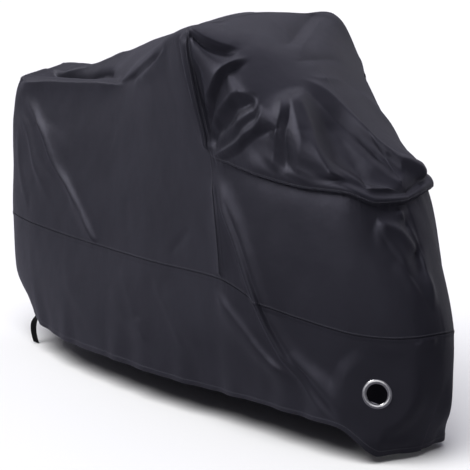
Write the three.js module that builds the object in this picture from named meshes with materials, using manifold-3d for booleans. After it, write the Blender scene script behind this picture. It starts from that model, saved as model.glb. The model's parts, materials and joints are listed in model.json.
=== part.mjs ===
// A fitted motorcycle cover of coated nylon, hanging in the folds it takes over a parked machine.
// The machine itself is left out, so the cover is a hollow sheet, open at the ground.
// Millimetres, +Z up, +X towards the front wheel and -Y the near side. The origin is the
// underside of the cloth above the saddle, where the cover is held up.
import * as THREE from 'three';
import { mergeVertices } from 'three/addons/utils/BufferGeometryUtils.js';
import Module from 'manifold-3d';

const CLOTH = 2;
const SEAM_GAP = 0.3;
const SADDLE = { x: -556, height: 1100 };

// Rises cross every rib at the same named lines. A rise is about the length of cloth from the hem.
const RISE = { hem: 0, low: 170, seam: 370, mid: 560, collar: 750, edge: 970, inner: 1080, spine: 1220 };
const LINES = Object.keys(RISE);

// Each rib is the line of the cloth at one station, counted in millimetres of cloth round the near
// side from the middle of the tail to the middle of the nose. A point is [x, half width, height
// above the ground]. The far side has its own width, below and above the collar, its own lift up
// there and its own drop at the hem.
const RIBS = [
  { station: 0, hem: [-935, 0, 115], low: [-1080, 0, 245], seam: [-1094, 0, 468], mid: [-1099, 0, 650],
    collar: [-1094, 0, 830], edge: [-1082, 0, 960], inner: [-1058, 0, 1008], spine: [-1030, 0, 1026],
    far: { low: 1, top: 1, lift: 0, drop: 0 } },
  { station: 110, hem: [-935, 115, 118], low: [-1080, 110, 245], seam: [-1093, 112, 468], mid: [-1096, 110, 650],
    collar: [-1090, 105, 830], edge: [-1078, 95, 982], inner: [-1030, 50, 1010], spine: [-975, 0, 1030],
    far: { low: 1, top: 1, lift: 0, drop: 0 } },
  { station: 230, hem: [-922, 212, 130], low: [-1075, 198, 240], seam: [-1083, 203, 465], mid: [-1084, 198, 650],
    collar: [-1080, 194, 830], edge: [-1052, 168, 972], inner: [-955, 85, 972], spine: [-890, 0, 1033],
    far: { low: 1, top: 1, lift: 0, drop: 10 } },
  { station: 440, hem: [-745, 290, 103], low: [-860, 262, 250], seam: [-880, 250, 460], mid: [-880, 235, 650],
    collar: [-870, 205, 825], edge: [-845, 155, 986], inner: [-805, 82, 966], spine: [-770, 0, 1038],
    far: { low: 1, top: 1, lift: 0, drop: 25 } },
  { station: 740, hem: [-480, 330, 95], low: [-545, 302, 260], seam: [-575, 268, 455], mid: [-585, 240, 650],
    collar: [-590, 202, 830], edge: [-580, 152, 994], inner: [-568, 82, 1030], spine: [-556, 0, 1102],
    far: { low: 1, top: 1, lift: 0, drop: 45 } },
  { station: 1010, hem: [-220, 336, 99], low: [-260, 312, 270], seam: [-295, 278, 455], mid: [-315, 250, 650],
    collar: [-330, 215, 840], edge: [-340, 165, 1018], inner: [-336, 105, 1115], spine: [-332, 0, 1163],
    far: { low: 1, top: 1, lift: 0, drop: 60 } },
  { station: 1290, hem: [60, 325, 99], low: [40, 318, 270], seam: [15, 292, 460], mid: [-5, 272, 650],
    collar: [-30, 255, 840], edge: [-45, 250, 1112], inner: [-45, 165, 1178], spine: [-45, 0, 1230],
    far: { low: 1, top: 0.97, lift: 8, drop: 75 } },
  { station: 1650, hem: [370, 275, 100], low: [390, 300, 270], seam: [391, 300, 470], mid: [355, 290, 650],
    collar: [302, 275, 833], edge: [240, 318, 1207], inner: [212, 205, 1238], spine: [200, 0, 1260],
    far: { low: 0.95, top: 0.86, lift: 34, drop: 90 } },
  { station: 1830, hem: [550, 258, 105], low: [585, 275, 250], seam: [570, 285, 425], mid: [530, 278, 620],
    collar: [485, 262, 808], edge: [365, 275, 1105], inner: [360, 150, 1175], spine: [370, 0, 1180],
    far: { low: 0.9, top: 1.02, lift: 0, drop: 92 } },
  { station: 2010, hem: [715, 240, 103], low: [740, 238, 250], seam: [715, 245, 400], mid: [690, 235, 590],
    collar: [660, 215, 783], edge: [575, 215, 955], inner: [525, 110, 1050], spine: [515, 0, 1080],
    far: { low: 0.9, top: 0.83, lift: 0, drop: 88 } },
  { station: 2170, hem: [850, 215, 97], low: [885, 185, 240], seam: [865, 192, 380], mid: [835, 190, 570],
    collar: [795, 160, 777], edge: [735, 150, 862], inner: [690, 80, 925], spine: [670, 0, 950],
    far: { low: 0.85, top: 0.9, lift: 8, drop: 55 } },
  { station: 2320, hem: [935, 150, 24], low: [975, 122, 220], seam: [965, 132, 378], mid: [920, 130, 560],
    collar: [855, 105, 748], edge: [825, 98, 812], inner: [795, 55, 850], spine: [780, 0, 865],
    far: { low: 0.8, top: 1.1, lift: 30, drop: 0 } },
  { station: 2400, hem: [950, 70, 24], low: [1020, 72, 210], seam: [1025, 72, 385], mid: [965, 75, 560],
    collar: [875, 55, 746], edge: [852, 48, 792], inner: [838, 25, 815], spine: [832, 0, 823],
    far: { low: 0.85, top: 1.12, lift: 20, drop: 0 } },
  { station: 2470, hem: [960, 0, 20], low: [1035, 0, 210], seam: [1045, 0, 390], mid: [980, 0, 560],
    collar: [882, 0, 748], edge: [868, 0, 780], inner: [862, 0, 796], spine: [858, 0, 806],
    far: { low: 1, top: 1, lift: 0, drop: 0 } },
];
const DROP_REACH = 300;
const TAIL = RIBS[0].station;
const NOSE = RIBS[RIBS.length - 1].station;
const BAR = 1650;

// Folds run through their points, each a [station, rise]. The cloth stands out by height, or in
// where that is negative, and falls away over the width behind the fold (to its left, going from
// the first point to the last) and the width before it. begins and ends are the share of the
// length over which it fades.
const FOLDS = [
  { name: 'seat piping', side: 'both', path: [[250, 955], [620, 958], [980, 965]],
    height: 9, behind: 26, before: 30, begins: 0.1, ends: 0.2 },
  { name: 'tension ridge', side: 'both', path: [[965, 985], [1250, 1000], [1600, 985]],
    height: 13, behind: 34, before: 26, begins: 0.25, ends: 0.3 },
  { name: 'second tension ridge', side: 'near', path: [[1100, 925], [1245, 935], [1470, 925]],
    height: 9, behind: 30, before: 24, begins: 0.2, ends: 0.3 },
  { name: 'seat hollow', side: 'both', path: [[430, 1060], [660, 1050], [840, 1030]],
    height: -20, behind: 45, before: 45, begins: 0.3, ends: 0.4 },
  { name: 'tail diagonal', side: 'both', path: [[300, 885], [570, 655], [830, 440], [935, 375]],
    height: 15, behind: 46, before: 30, begins: 0.15, ends: 0.1 },
  { name: 'upper tail diagonal', side: 'near', path: [[325, 860], [475, 745], [835, 595]],
    height: 8, behind: 30, before: 34, begins: 0.2, ends: 0.5 },
  { name: 'lower tail diagonal', side: 'near', path: [[275, 815], [405, 670], [610, 455]],
    height: 9, behind: 32, before: 32, begins: 0.2, ends: 0.4 },
  { name: 'long flank fold', side: 'near', path: [[1655, 735], [1730, 585], [1830, 350], [1920, 220], [2190, 25]],
    height: 15, behind: 36, before: 30, begins: 0.12, ends: 0.12 },
  { name: 'flank companion', side: 'near', path: [[1615, 335], [1700, 260], [1810, 175], [1960, 90]],
    height: 11, behind: 34, before: 34, begins: 0.2, ends: 0.3 },
  { name: 'far flank fold', side: 'far', path: [[1660, 720], [1780, 480], [1980, 150]],
    height: 13, behind: 36, before: 34, begins: 0.15, ends: 0.3 },
  { name: 'bar seam ridge', side: 'both', path: [[1628, 965], [1636, 850], [1640, 760]],
    height: 8, behind: 26, before: 24, begins: 0.1, ends: 0.1 },
  { name: 'bar seam groove', side: 'both', path: [[1690, 930], [1684, 850], [1676, 770]],
    height: -16, behind: 24, before: 30, begins: 0.25, ends: 0.15 },
  { name: 'mirror crease', side: 'near', path: [[1680, 975], [1740, 985], [1830, 1035]],
    height: -15, behind: 26, before: 32, begins: 0.15, ends: 0.2 },
  { name: 'shoulder crease', side: 'near', path: [[1862, 1020], [1850, 975], [1765, 890], [1690, 830]],
    height: -10, behind: 30, before: 28, begins: 0.2, ends: 0.15 },
  { name: 'bar hollow', side: 'both', path: [[1930, 985], [1885, 925], [1780, 855], [1690, 795]],
    height: -20, behind: 36, before: 40, begins: 0.2, ends: 0.2 },
  { name: 'hollow ridge', side: 'near', path: [[1940, 970], [1880, 880], [1770, 810], [1690, 768]],
    height: 9, behind: 24, before: 28, begins: 0.2, ends: 0.15 },
  { name: 'lower hollow', side: 'near', path: [[1985, 920], [1885, 825], [1750, 760]],
    height: -9, behind: 28, before: 28, begins: 0.2, ends: 0.2 },
  { name: 'yoke ridge', side: 'both', path: [[1980, 1045], [2045, 995], [2055, 880], [2020, 765]],
    height: 12, behind: 34, before: 60, begins: 0.15, ends: 0.1 },
  { name: 'yoke groove', side: 'near', path: [[1995, 1010], [2015, 930], [1950, 800]],
    height: -8, behind: 28, before: 28, begins: 0.2, ends: 0.2 },
  { name: 'cowl hollow', side: 'near', path: [[2060, 1090], [2180, 1040], [2310, 1000], [2400, 930]],
    height: -20, behind: 70, before: 60, begins: 0.2, ends: 0.3 },
  { name: 'cowl rib', side: 'near', path: [[1985, 1066], [2088, 1004], [2148, 800]],
    height: 15, behind: 50, before: 56, begins: 0.15, ends: 0.15 },
  { name: 'cowl crest', side: 'near', path: [[2084, 1183], [2212, 1216], [2300, 1262], [2350, 1330], [2358, 1600]],
    height: 12, behind: 30, before: 34, begins: 0.2, ends: 0.15 },
  { name: 'crown groove', side: 'far', path: [[1670, 1040], [1800, 1165], [1890, 1215]],
    height: -14, behind: 44, before: 40, begins: 0.2, ends: 0.3 },
  { name: 'nose spoke', side: 'near', path: [[2310, 690], [2390, 610], [2450, 440]],
    height: 9, behind: 26, before: 26, begins: 0.2, ends: 0.2 },
  { name: 'nose tuck', side: 'near', path: [[2440, 715], [2455, 640], [2445, 510]],
    height: -9, behind: 22, before: 22, begins: 0.2, ends: 0.3 },
  { name: 'skirt fold, tail', side: 'both', path: [[705, 245], [850, 140], [1010, 60]],
    height: 9, behind: 40, before: 34, begins: 0.25, ends: 0.3 },
  { name: 'skirt fold, saddle', side: 'both', path: [[1025, 240], [1165, 130], [1330, 70]],
    height: 8, behind: 38, before: 34, begins: 0.25, ends: 0.3 },
  { name: 'skirt fold, tank', side: 'near', path: [[1340, 300], [1450, 190], [1560, 90]],
    height: 9, behind: 36, before: 32, begins: 0.25, ends: 0.3 },
];

// The hood bags out above the collar seam and the front panel draws in under it.
const BAG = { out: 15, outRise: 788, outWidth: 30, inward: -6, inRise: 738, inWidth: 22, opens: 240 };

const EYELET = {
  station: 2255, rise: 150, flat: 95, blend: 150,
  hole: 33.3, bore: 31, barrel: 33, flange: 44, backFlange: 42, groove: 1.3, face: 3.6, back: 3.2, sides: 28,
};

const STRAP = {
  stations: [308, 338], half: 12, rise: 24, sewn: 20, past: 9, thick: 2, seat: 1.1, bow: 15, sections: 12, clears: 4,
  twist: 62, twisted: 0.4,
};

// Columns and rows of the cloth. They are closer at the strap, the eyelets, the hood and the collar.
const STATIONS = [
  ...spread(TAIL, STRAP.stations[0], 7), ...spread(...STRAP.stations, 1), ...spread(STRAP.stations[1], BAR, 25),
  ...spread(BAR, 2190, 16), ...spread(2190, 2320, 4), ...spread(2320, NOSE, 4), NOSE,
];
const RISES = [
  ...spread(RISE.hem, STRAP.rise, 1), ...spread(STRAP.rise, 90, 1), ...spread(90, 210, 4), ...spread(210, RISE.seam, 3),
  ...spread(RISE.seam, 720, 7), ...spread(720, RISE.collar, 1), ...spread(RISE.collar, 800, 2),
  ...spread(800, RISE.edge, 4), ...spread(RISE.edge, RISE.inner, 3), ...spread(RISE.inner, RISE.spine, 4), RISE.spine,
];
const NORMAL_STEP = 6;
const SLACK = 0.8;

function spread(from, to, count) {
  return Array.from({ length: count }, (_, i) => from + (to - from) * i / count);
}

function between(knots, value) {
  let i = 0;
  while (i < knots.length - 2 && value > knots[i + 1]) i += 1;
  return { i, t: (value - knots[i]) / (knots[i + 1] - knots[i]) };
}

function smooth(t) {
  const s = THREE.MathUtils.clamp(t, 0, 1);
  return s * s * (3 - 2 * s);
}

// Hermite curve through samples at uneven knots, with slopes a little short of the chord's.
function curve(samples, knots, value) {
  const { i, t } = between(knots, value);
  const slope = (k) => {
    const before = Math.max(k - 1, 0);
    const after = Math.min(k + 1, knots.length - 1);
    return samples[after].clone().sub(samples[before]).multiplyScalar(SLACK / (knots[after] - knots[before]));
  };
  const span = knots[i + 1] - knots[i];
  return new THREE.Vector3()
    .addScaledVector(samples[i], 2 * t ** 3 - 3 * t ** 2 + 1)
    .addScaledVector(slope(i), (t ** 3 - 2 * t ** 2 + t) * span)
    .addScaledVector(samples[i + 1], -2 * t ** 3 + 3 * t ** 2)
    .addScaledVector(slope(i + 1), (t ** 3 - t ** 2) * span);
}

// Ribs and lines are carried one step past the middle of the tail, the nose and the spine, by
// mirroring, so that the slopes there run straight across.
const mirrored = (point) => point.clone().multiply(new THREE.Vector3(1, -1, 1));
const ribPoints = RIBS.map((rib) => LINES.map((line) => new THREE.Vector3(...rib[line])));
const NET = {
  points: [ribPoints[1].map(mirrored), ...ribPoints, ribPoints[ribPoints.length - 2].map(mirrored)],
  stations: [TAIL - RIBS[1].station, ...RIBS.map((rib) => rib.station), 2 * NOSE - RIBS[RIBS.length - 2].station],
  rises: [...LINES.map((line) => RISE[line]), 2 * RISE.spine - RISE.inner],
};

const ribsMade = new Map();

function ribAt(station) {
  if (!ribsMade.has(station)) {
    ribsMade.set(station, NET.rises.map((_, k) => {
      const row = NET.points.map((rib) => (k < LINES.length ? rib[k] : mirrored(rib[LINES.length - 2])));
      return curve(row, NET.stations, station);
    }));
  }
  return ribsMade.get(station);
}

// The smooth cloth before its folds. side is -1 near and +1 far. Past the spine, tail or nose the
// other side goes on.
function taut(side, station, rise) {
  if (rise > RISE.spine) return taut(-side, station, 2 * RISE.spine - rise);
  if (station < TAIL) return taut(-side, 2 * TAIL - station, rise);
  if (station > NOSE) return taut(-side, 2 * NOSE - station, rise);
  const point = curve(ribAt(station), NET.rises, Math.max(rise, 0));
  if (side > 0) {
    const { i, t } = between(RIBS.map((rib) => rib.station), station);
    const mix = (key) => THREE.MathUtils.lerp(RIBS[i].far[key], RIBS[i + 1].far[key], t);
    const upper = THREE.MathUtils.clamp((rise - RISE.mid) / (RISE.collar - RISE.mid), 0, 1);
    const below = THREE.MathUtils.clamp((RISE.spine - rise) / 250, 0, 1);
    point.y *= THREE.MathUtils.lerp(mix('low'), mix('top'), upper);
    point.z += mix('lift') * upper * below;
    point.z -= mix('drop') * THREE.MathUtils.clamp(1 - rise / DROP_REACH, 0, 1);
  }
  point.y *= side;
  return point;
}

function tautNormal(side, station, rise) {
  const low = Math.max(rise - NORMAL_STEP, 0);
  const along = taut(side, station + NORMAL_STEP, rise).sub(taut(side, station - NORMAL_STEP, rise));
  const up = taut(side, station, rise + NORMAL_STEP).sub(taut(side, station, low));
  return along.cross(up).normalize().multiplyScalar(-side);
}

// Where a point of the other side would lie, counted from this side: over the spine, round the
// tail or round the nose.
function images(sameSide, station, rise) {
  if (sameSide) return [[station, rise]];
  return [[station, 2 * RISE.spine - rise], [2 * TAIL - station, rise], [2 * NOSE - station, rise]];
}

function foldHeight(fold, station, rise) {
  const lengths = fold.path.slice(1).map((p, k) => Math.hypot(p[0] - fold.path[k][0], p[1] - fold.path[k][1]));
  const total = lengths.reduce((sum, length) => sum + length, 0);
  let best = { distance: Infinity };
  let travelled = 0;
  for (let k = 0; k < lengths.length; k += 1) {
    const [a, b] = [fold.path[k], fold.path[k + 1]];
    const dir = [(b[0] - a[0]) / lengths[k], (b[1] - a[1]) / lengths[k]];
    const off = [station - a[0], rise - a[1]];
    const s = THREE.MathUtils.clamp(off[0] * dir[0] + off[1] * dir[1], 0, lengths[k]);
    const distance = Math.hypot(off[0] - dir[0] * s, off[1] - dir[1] * s);
    if (distance < best.distance) {
      best = { distance, left: dir[0] * off[1] - dir[1] * off[0] > 0, t: (travelled + s) / total };
    }
    travelled += lengths[k];
  }
  const width = best.left ? fold.behind : fold.before;
  const fade = smooth(best.t / fold.begins) * smooth((1 - best.t) / fold.ends);
  return fold.height * fade * Math.exp(-((best.distance / width) ** 2));
}

function bagHeight(station, rise) {
  const open = smooth((station - BAR) / BAG.opens);
  const out = BAG.out * Math.exp(-(((rise - BAG.outRise) / BAG.outWidth) ** 2));
  const inward = BAG.inward * Math.exp(-(((rise - BAG.inRise) / BAG.inWidth) ** 2));
  return open * (out + inward);
}

function folded(side, station, rise) {
  let height = bagHeight(station, rise);
  for (const fold of FOLDS) {
    for (const foldSide of [-1, 1]) {
      if (fold.side === (foldSide < 0 ? 'far' : 'near')) continue;
      for (const [a, v] of images(foldSide === side, station, rise)) height += foldHeight(fold, a, v);
    }
  }
  return taut(side, station, rise).addScaledVector(tautNormal(side, station, rise), height);
}

// The cloth lies flat round each eyelet, which is pressed through it.
const EYELET_PLACES = { near: eyeletPlace(-1), far: eyeletPlace(1) };

function eyeletPlace(side) {
  return {
    centre: taut(side, EYELET.station, EYELET.rise),
    normal: tautNormal(side, EYELET.station, EYELET.rise),
  };
}

function clothPoint(side, station, rise) {
  const point = folded(side, station, rise);
  for (const { centre, normal } of Object.values(EYELET_PLACES)) {
    const off = point.clone().sub(centre);
    const height = off.dot(normal);
    const away = off.length();
    const pressed = 1 - smooth((away - EYELET.flat) / (EYELET.blend - EYELET.flat));
    point.addScaledVector(normal, -height * pressed);
  }
  return point;
}

// The whole cover as one net of points and quads, from which the panels are cut. The two sides
// share the points in the middle of the tail, of the nose and along the spine.
function drape() {
  const last = { i: STATIONS.length - 1, j: RISES.length - 1 };
  const points = [];
  const index = new Map();
  const vertex = (side, i, j) => {
    const shared = i === 0 || i === last.i || j === last.j;
    const key = `${shared ? -1 : side},${i},${j}`;
    if (!index.has(key)) {
      index.set(key, points.length);
      points.push(clothPoint(shared ? -1 : side, STATIONS[i], RISES[j]));
    }
    return index.get(key);
  };
  const quads = [];
  for (const side of [-1, 1]) {
    for (let i = 0; i < last.i; i += 1) {
      for (let j = 0; j < last.j; j += 1) {
        const corners = [vertex(side, i, j), vertex(side, i + 1, j), vertex(side, i + 1, j + 1), vertex(side, i, j + 1)];
        if (side > 0) corners.reverse();
        quads.push({ corners, station: STATIONS[i], rise: RISES[j] });
      }
    }
  }
  const triangles = quads.flatMap(({ corners: [a, b, c, d], station, rise }) => {
    const short = points[a].distanceTo(points[c]) < points[b].distanceTo(points[d]);
    const pair = short ? [[a, b, c], [a, c, d]] : [[a, b, d], [b, c, d]];
    return pair.map((corners) => ({ corners, station, rise }));
  });
  const normals = points.map(() => new THREE.Vector3());
  for (const { corners: [a, b, c] } of triangles) {
    const face = points[b].clone().sub(points[a]).cross(points[c].clone().sub(points[a]));
    for (const corner of [a, b, c]) normals[corner].add(face);
  }
  normals.forEach((normal) => normal.normalize());
  return { points, normals, triangles };
}

const COVER = drape();

// One panel: the triangles whose corner lies in the given stations and rises, drawn in by half the
// seam gap at its edges and given the cloth's thickness inwards.
function panelGeometry({ stations = [TAIL, NOSE], rises = [RISE.hem, RISE.spine] }) {
  const cut = COVER.triangles.filter(({ station, rise }) => (
    station >= stations[0] && station < stations[1] && rise >= rises[0] && rise < rises[1]));
  const edges = new Map();
  for (const { corners } of cut) {
    corners.forEach((from, k) => edges.set(`${from},${corners[(k + 1) % 3]}`, [from, corners[(k + 1) % 3]]));
  }
  const rim = [...edges.values()].filter(([from, to]) => !edges.has(`${to},${from}`));
  const inward = new Map();
  for (const [from, to] of rim) {
    for (const corner of [from, to]) {
      const along = COVER.points[to].clone().sub(COVER.points[from]);
      const draw = COVER.normals[corner].clone().cross(along).normalize();
      inward.set(corner, [...(inward.get(corner) ?? []), draw]);
    }
  }
  const positions = [];
  const place = new Map();
  for (const { corners } of cut) {
    for (const corner of corners.filter((c) => !place.has(c))) {
      place.set(corner, place.size);
      const outer = COVER.points[corner].clone();
      const draws = inward.get(corner);
      if (draws) {
        const sum = draws[0].clone().add(draws[1]);
        outer.addScaledVector(sum, SEAM_GAP / 2 / (1 + draws[0].dot(draws[1])));
      }
      const inner = outer.clone().addScaledVector(COVER.normals[corner], -CLOTH);
      positions.push(...outer.toArray(), ...inner.toArray());
    }
  }
  const outside = (corner) => 2 * place.get(corner);
  const inside = (corner) => 2 * place.get(corner) + 1;
  const faces = [];
  for (const { corners: [a, b, c] } of cut) {
    faces.push(outside(a), outside(b), outside(c), inside(a), inside(c), inside(b));
  }
  for (const [from, to] of rim) {
    faces.push(outside(to), outside(from), inside(from), outside(to), inside(from), inside(to));
  }
  return indexed(positions, faces);
}

function indexed(positions, faces) {
  const geometry = new THREE.BufferGeometry();
  geometry.setAttribute('position', new THREE.Float32BufferAttribute(positions, 3));
  geometry.setIndex(faces);
  geometry.computeVertexNormals();
  return geometry;
}

const manifold = await Module();
manifold.setup();

function toManifold(geometry) {
  return new manifold.Manifold(new manifold.Mesh({
    numProp: 3,
    vertProperties: new Float32Array(geometry.attributes.position.array),
    triVerts: new Uint32Array(geometry.index.array),
  }));
}

function punched(geometry, holes) {
  const result = holes.reduce((solid, hole) => solid.subtract(toManifold(hole)), toManifold(geometry));
  const { vertProperties, numProp, triVerts } = result.getMesh();
  const positions = Array.from({ length: vertProperties.length / numProp }, (_, k) => (
    [...vertProperties.slice(k * numProp, k * numProp + 3)])).flat();
  return indexed(positions, Array.from(triVerts));
}

// A closed ring turned about +Z from a profile of [radius, height] points, anticlockwise.
function turned(profile, sides) {
  const positions = [];
  const faces = [];
  for (let s = 0; s < sides; s += 1) {
    const angle = 2 * Math.PI * s / sides;
    for (const [radius, height] of profile) positions.push(radius * Math.cos(angle), radius * Math.sin(angle), height);
  }
  const n = profile.length;
  for (let s = 0; s < sides; s += 1) {
    const next = (s + 1) % sides;
    for (let k = 0; k < n; k += 1) {
      const m = (k + 1) % n;
      faces.push(s * n + k, next * n + k, next * n + m, s * n + k, next * n + m, s * n + m);
    }
  }
  return indexed(positions, faces);
}

function eyeletGeometry() {
  const { bore, barrel, flange, backFlange, groove, face, back, sides } = EYELET;
  return turned([
    [bore, 1 - back], [bore + 1, -back], [backFlange - 1, -back], [backFlange, 1 - back],
    [backFlange, -groove], [barrel, -groove], [barrel, groove], [flange, groove],
    [flange, groove + 0.9], [flange - 2.5, face], [bore + 2.5, face], [bore, groove + 0.9],
  ], sides);
}

// Turns +Z of a shape to the eyelet's axis and puts it in the middle of the cloth's thickness.
function atEyelet(object, { centre, normal }) {
  object.position.copy(centre).addScaledVector(normal, -CLOTH / 2);
  object.quaternion.setFromUnitVectors(new THREE.Vector3(0, 0, 1), normal);
  return object;
}

function holeCutter(place) {
  const rod = new THREE.CylinderGeometry(EYELET.hole, EYELET.hole, 30, EYELET.sides).rotateX(Math.PI / 2);
  rod.deleteAttribute('normal');
  rod.deleteAttribute('uv');
  const holder = atEyelet(new THREE.Object3D(), place);
  holder.updateMatrix();
  return mergeVertices(rod, 1e-3).applyMatrix4(holder.matrix);
}

// The strap lies sewn against the inside of the hem at the tail, runs on a little past it and hangs
// free, turning its flat face and bowed slightly, until it just clears the ground.
function strapGeometry() {
  const { stations, half, rise, sewn, past, thick, seat, bow, sections, clears, twist, twisted } = STRAP;
  const vertical = new THREE.Vector3(0, 0, 1);
  const [back, ahead] = stations.map((station) => clothPoint(-1, station, RISE.hem));
  const [backAbove, aheadAbove] = stations.map((station) => clothPoint(-1, station, rise));
  const hem = back.clone().add(ahead).divideScalar(2);
  const across = ahead.clone().sub(back).normalize();
  const down = hem.clone().sub(backAbove.add(aheadAbove).divideScalar(2)).normalize();
  const out = down.clone().cross(across).normalize();
  const start = hem.clone().addScaledVector(out, -CLOTH - seat - thick / 2);
  const knee = start.clone().addScaledVector(down, past);
  const hang = knee.z - clears;
  const positions = [];
  for (let k = 0; k <= sections; k += 1) {
    const along = -sewn + (sewn + past + hang) * k / sections;
    const free = Math.max(along - past, 0) / hang;
    const centre = start.clone().addScaledVector(down, Math.min(along, past));
    centre.z -= free * hang;
    const turn = THREE.MathUtils.degToRad(twist) * smooth(free / twisted);
    const wide = across.clone().applyAxisAngle(vertical, turn);
    const face = out.clone().applyAxisAngle(vertical, turn);
    centre.addScaledVector(wide, -bow * Math.sin(Math.PI * free * 0.9));
    for (const [w, h] of [[1, 1], [1, -1], [-1, -1], [-1, 1]]) {
      const corner = centre.clone().addScaledVector(wide, w * half).addScaledVector(face, h * thick / 2);
      positions.push(...corner.toArray());
    }
  }
  const faces = [0, 1, 2, 0, 2, 3];
  for (let k = 0; k < sections; k += 1) {
    for (let c = 0; c < 4; c += 1) {
      const [a, b] = [4 * k + c, 4 * k + (c + 1) % 4];
      faces.push(a, a + 4, b, b, a + 4, b + 4);
    }
  }
  const end = 4 * sections;
  faces.push(end, end + 2, end + 1, end, end + 3, end + 2);
  return indexed(positions, faces);
}

const nylon = (color) => new THREE.MeshStandardMaterial({ color, roughness: 0.55, metalness: 0 });

function named(name, geometry, material) {
  const mesh = new THREE.Mesh(geometry, material);
  mesh.name = name;
  return mesh;
}

const cover = new THREE.Group();
cover.name = 'cover';
cover.position.set(-SADDLE.x, 0, -SADDLE.height);

const panel = (name, stations, rises, color) => named(name, panelGeometry({ stations, rises }), nylon(color));
const skirt = panel('skirt', [TAIL, NOSE], [RISE.hem, RISE.seam], '#2a2931');
skirt.geometry = punched(skirt.geometry, Object.values(EYELET_PLACES).map(holeCutter));

cover.add(panel('seat_panel', [TAIL, BAR], [RISE.seam, RISE.spine], '#34323c'));
cover.add(panel('hood', [BAR, NOSE], [RISE.collar, RISE.spine], '#4a4b55'));
cover.add(panel('front_panel', [BAR, NOSE], [RISE.seam, RISE.collar], '#222128'));
cover.add(skirt);

const steel = new THREE.MeshStandardMaterial({ color: '#c4c4c8', roughness: 0.25, metalness: 1 });
for (const [where, place] of Object.entries(EYELET_PLACES)) {
  cover.add(atEyelet(named(`eyelet_${where}`, eyeletGeometry(), steel), place));
}

const webbing = new THREE.MeshStandardMaterial({ color: '#141417', roughness: 0.8, metalness: 0 });
cover.add(named('strap', strapGeometry(), webbing));

export default cover;
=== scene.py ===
"""A fitted motorcycle cover of charcoal coated nylon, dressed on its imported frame.

Metres, +Z up, +X towards the front wheel and -Y the near side. The origin is the underside of the
cloth above the saddle. The cover is four sheets sewn together, two pressed eyelets, rows of
stitches and a webbing strap. Each operator makes one group of pieces.
"""

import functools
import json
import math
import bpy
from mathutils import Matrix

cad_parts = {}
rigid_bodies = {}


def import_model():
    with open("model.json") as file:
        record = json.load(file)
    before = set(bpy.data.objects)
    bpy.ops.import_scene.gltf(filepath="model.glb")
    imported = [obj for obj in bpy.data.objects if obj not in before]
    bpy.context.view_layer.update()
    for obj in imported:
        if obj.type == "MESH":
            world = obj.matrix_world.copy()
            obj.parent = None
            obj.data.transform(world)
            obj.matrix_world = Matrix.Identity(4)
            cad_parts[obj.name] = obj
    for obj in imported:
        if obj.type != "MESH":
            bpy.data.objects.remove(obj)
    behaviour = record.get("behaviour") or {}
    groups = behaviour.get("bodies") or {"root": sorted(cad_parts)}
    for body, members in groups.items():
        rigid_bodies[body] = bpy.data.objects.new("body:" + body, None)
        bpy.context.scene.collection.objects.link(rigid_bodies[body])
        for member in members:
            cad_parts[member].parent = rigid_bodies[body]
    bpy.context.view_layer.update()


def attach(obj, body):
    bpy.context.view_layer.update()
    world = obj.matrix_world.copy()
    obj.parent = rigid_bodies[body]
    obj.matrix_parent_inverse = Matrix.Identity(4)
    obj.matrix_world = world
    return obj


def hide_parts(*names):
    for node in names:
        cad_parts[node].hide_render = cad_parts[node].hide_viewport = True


bl_info = {
    "name": "Motorcycle cover",
    "version": (1, 0, 0),
    "blender": (4, 5, 0),
    "location": "3D View > Sidebar > Cover",
    "description": "Makes a draped, fitted motorcycle cover with its seams, eyelets and strap",
    "category": "Object",
}

import bpy
import numpy as np
from mathutils import Vector

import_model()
MM = 0.001

# Where the cloth lies on the saddle: the origin, counted along the cover and above the ground.
SADDLE = (-556, 1100)

# Rises cross every rib at the same named lines, in millimetres of cloth from the hem.
RISE = {"hem": 0, "low": 170, "seam": 370, "mid": 560, "collar": 750, "edge": 970, "inner": 1080,
        "spine": 1220}

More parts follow.
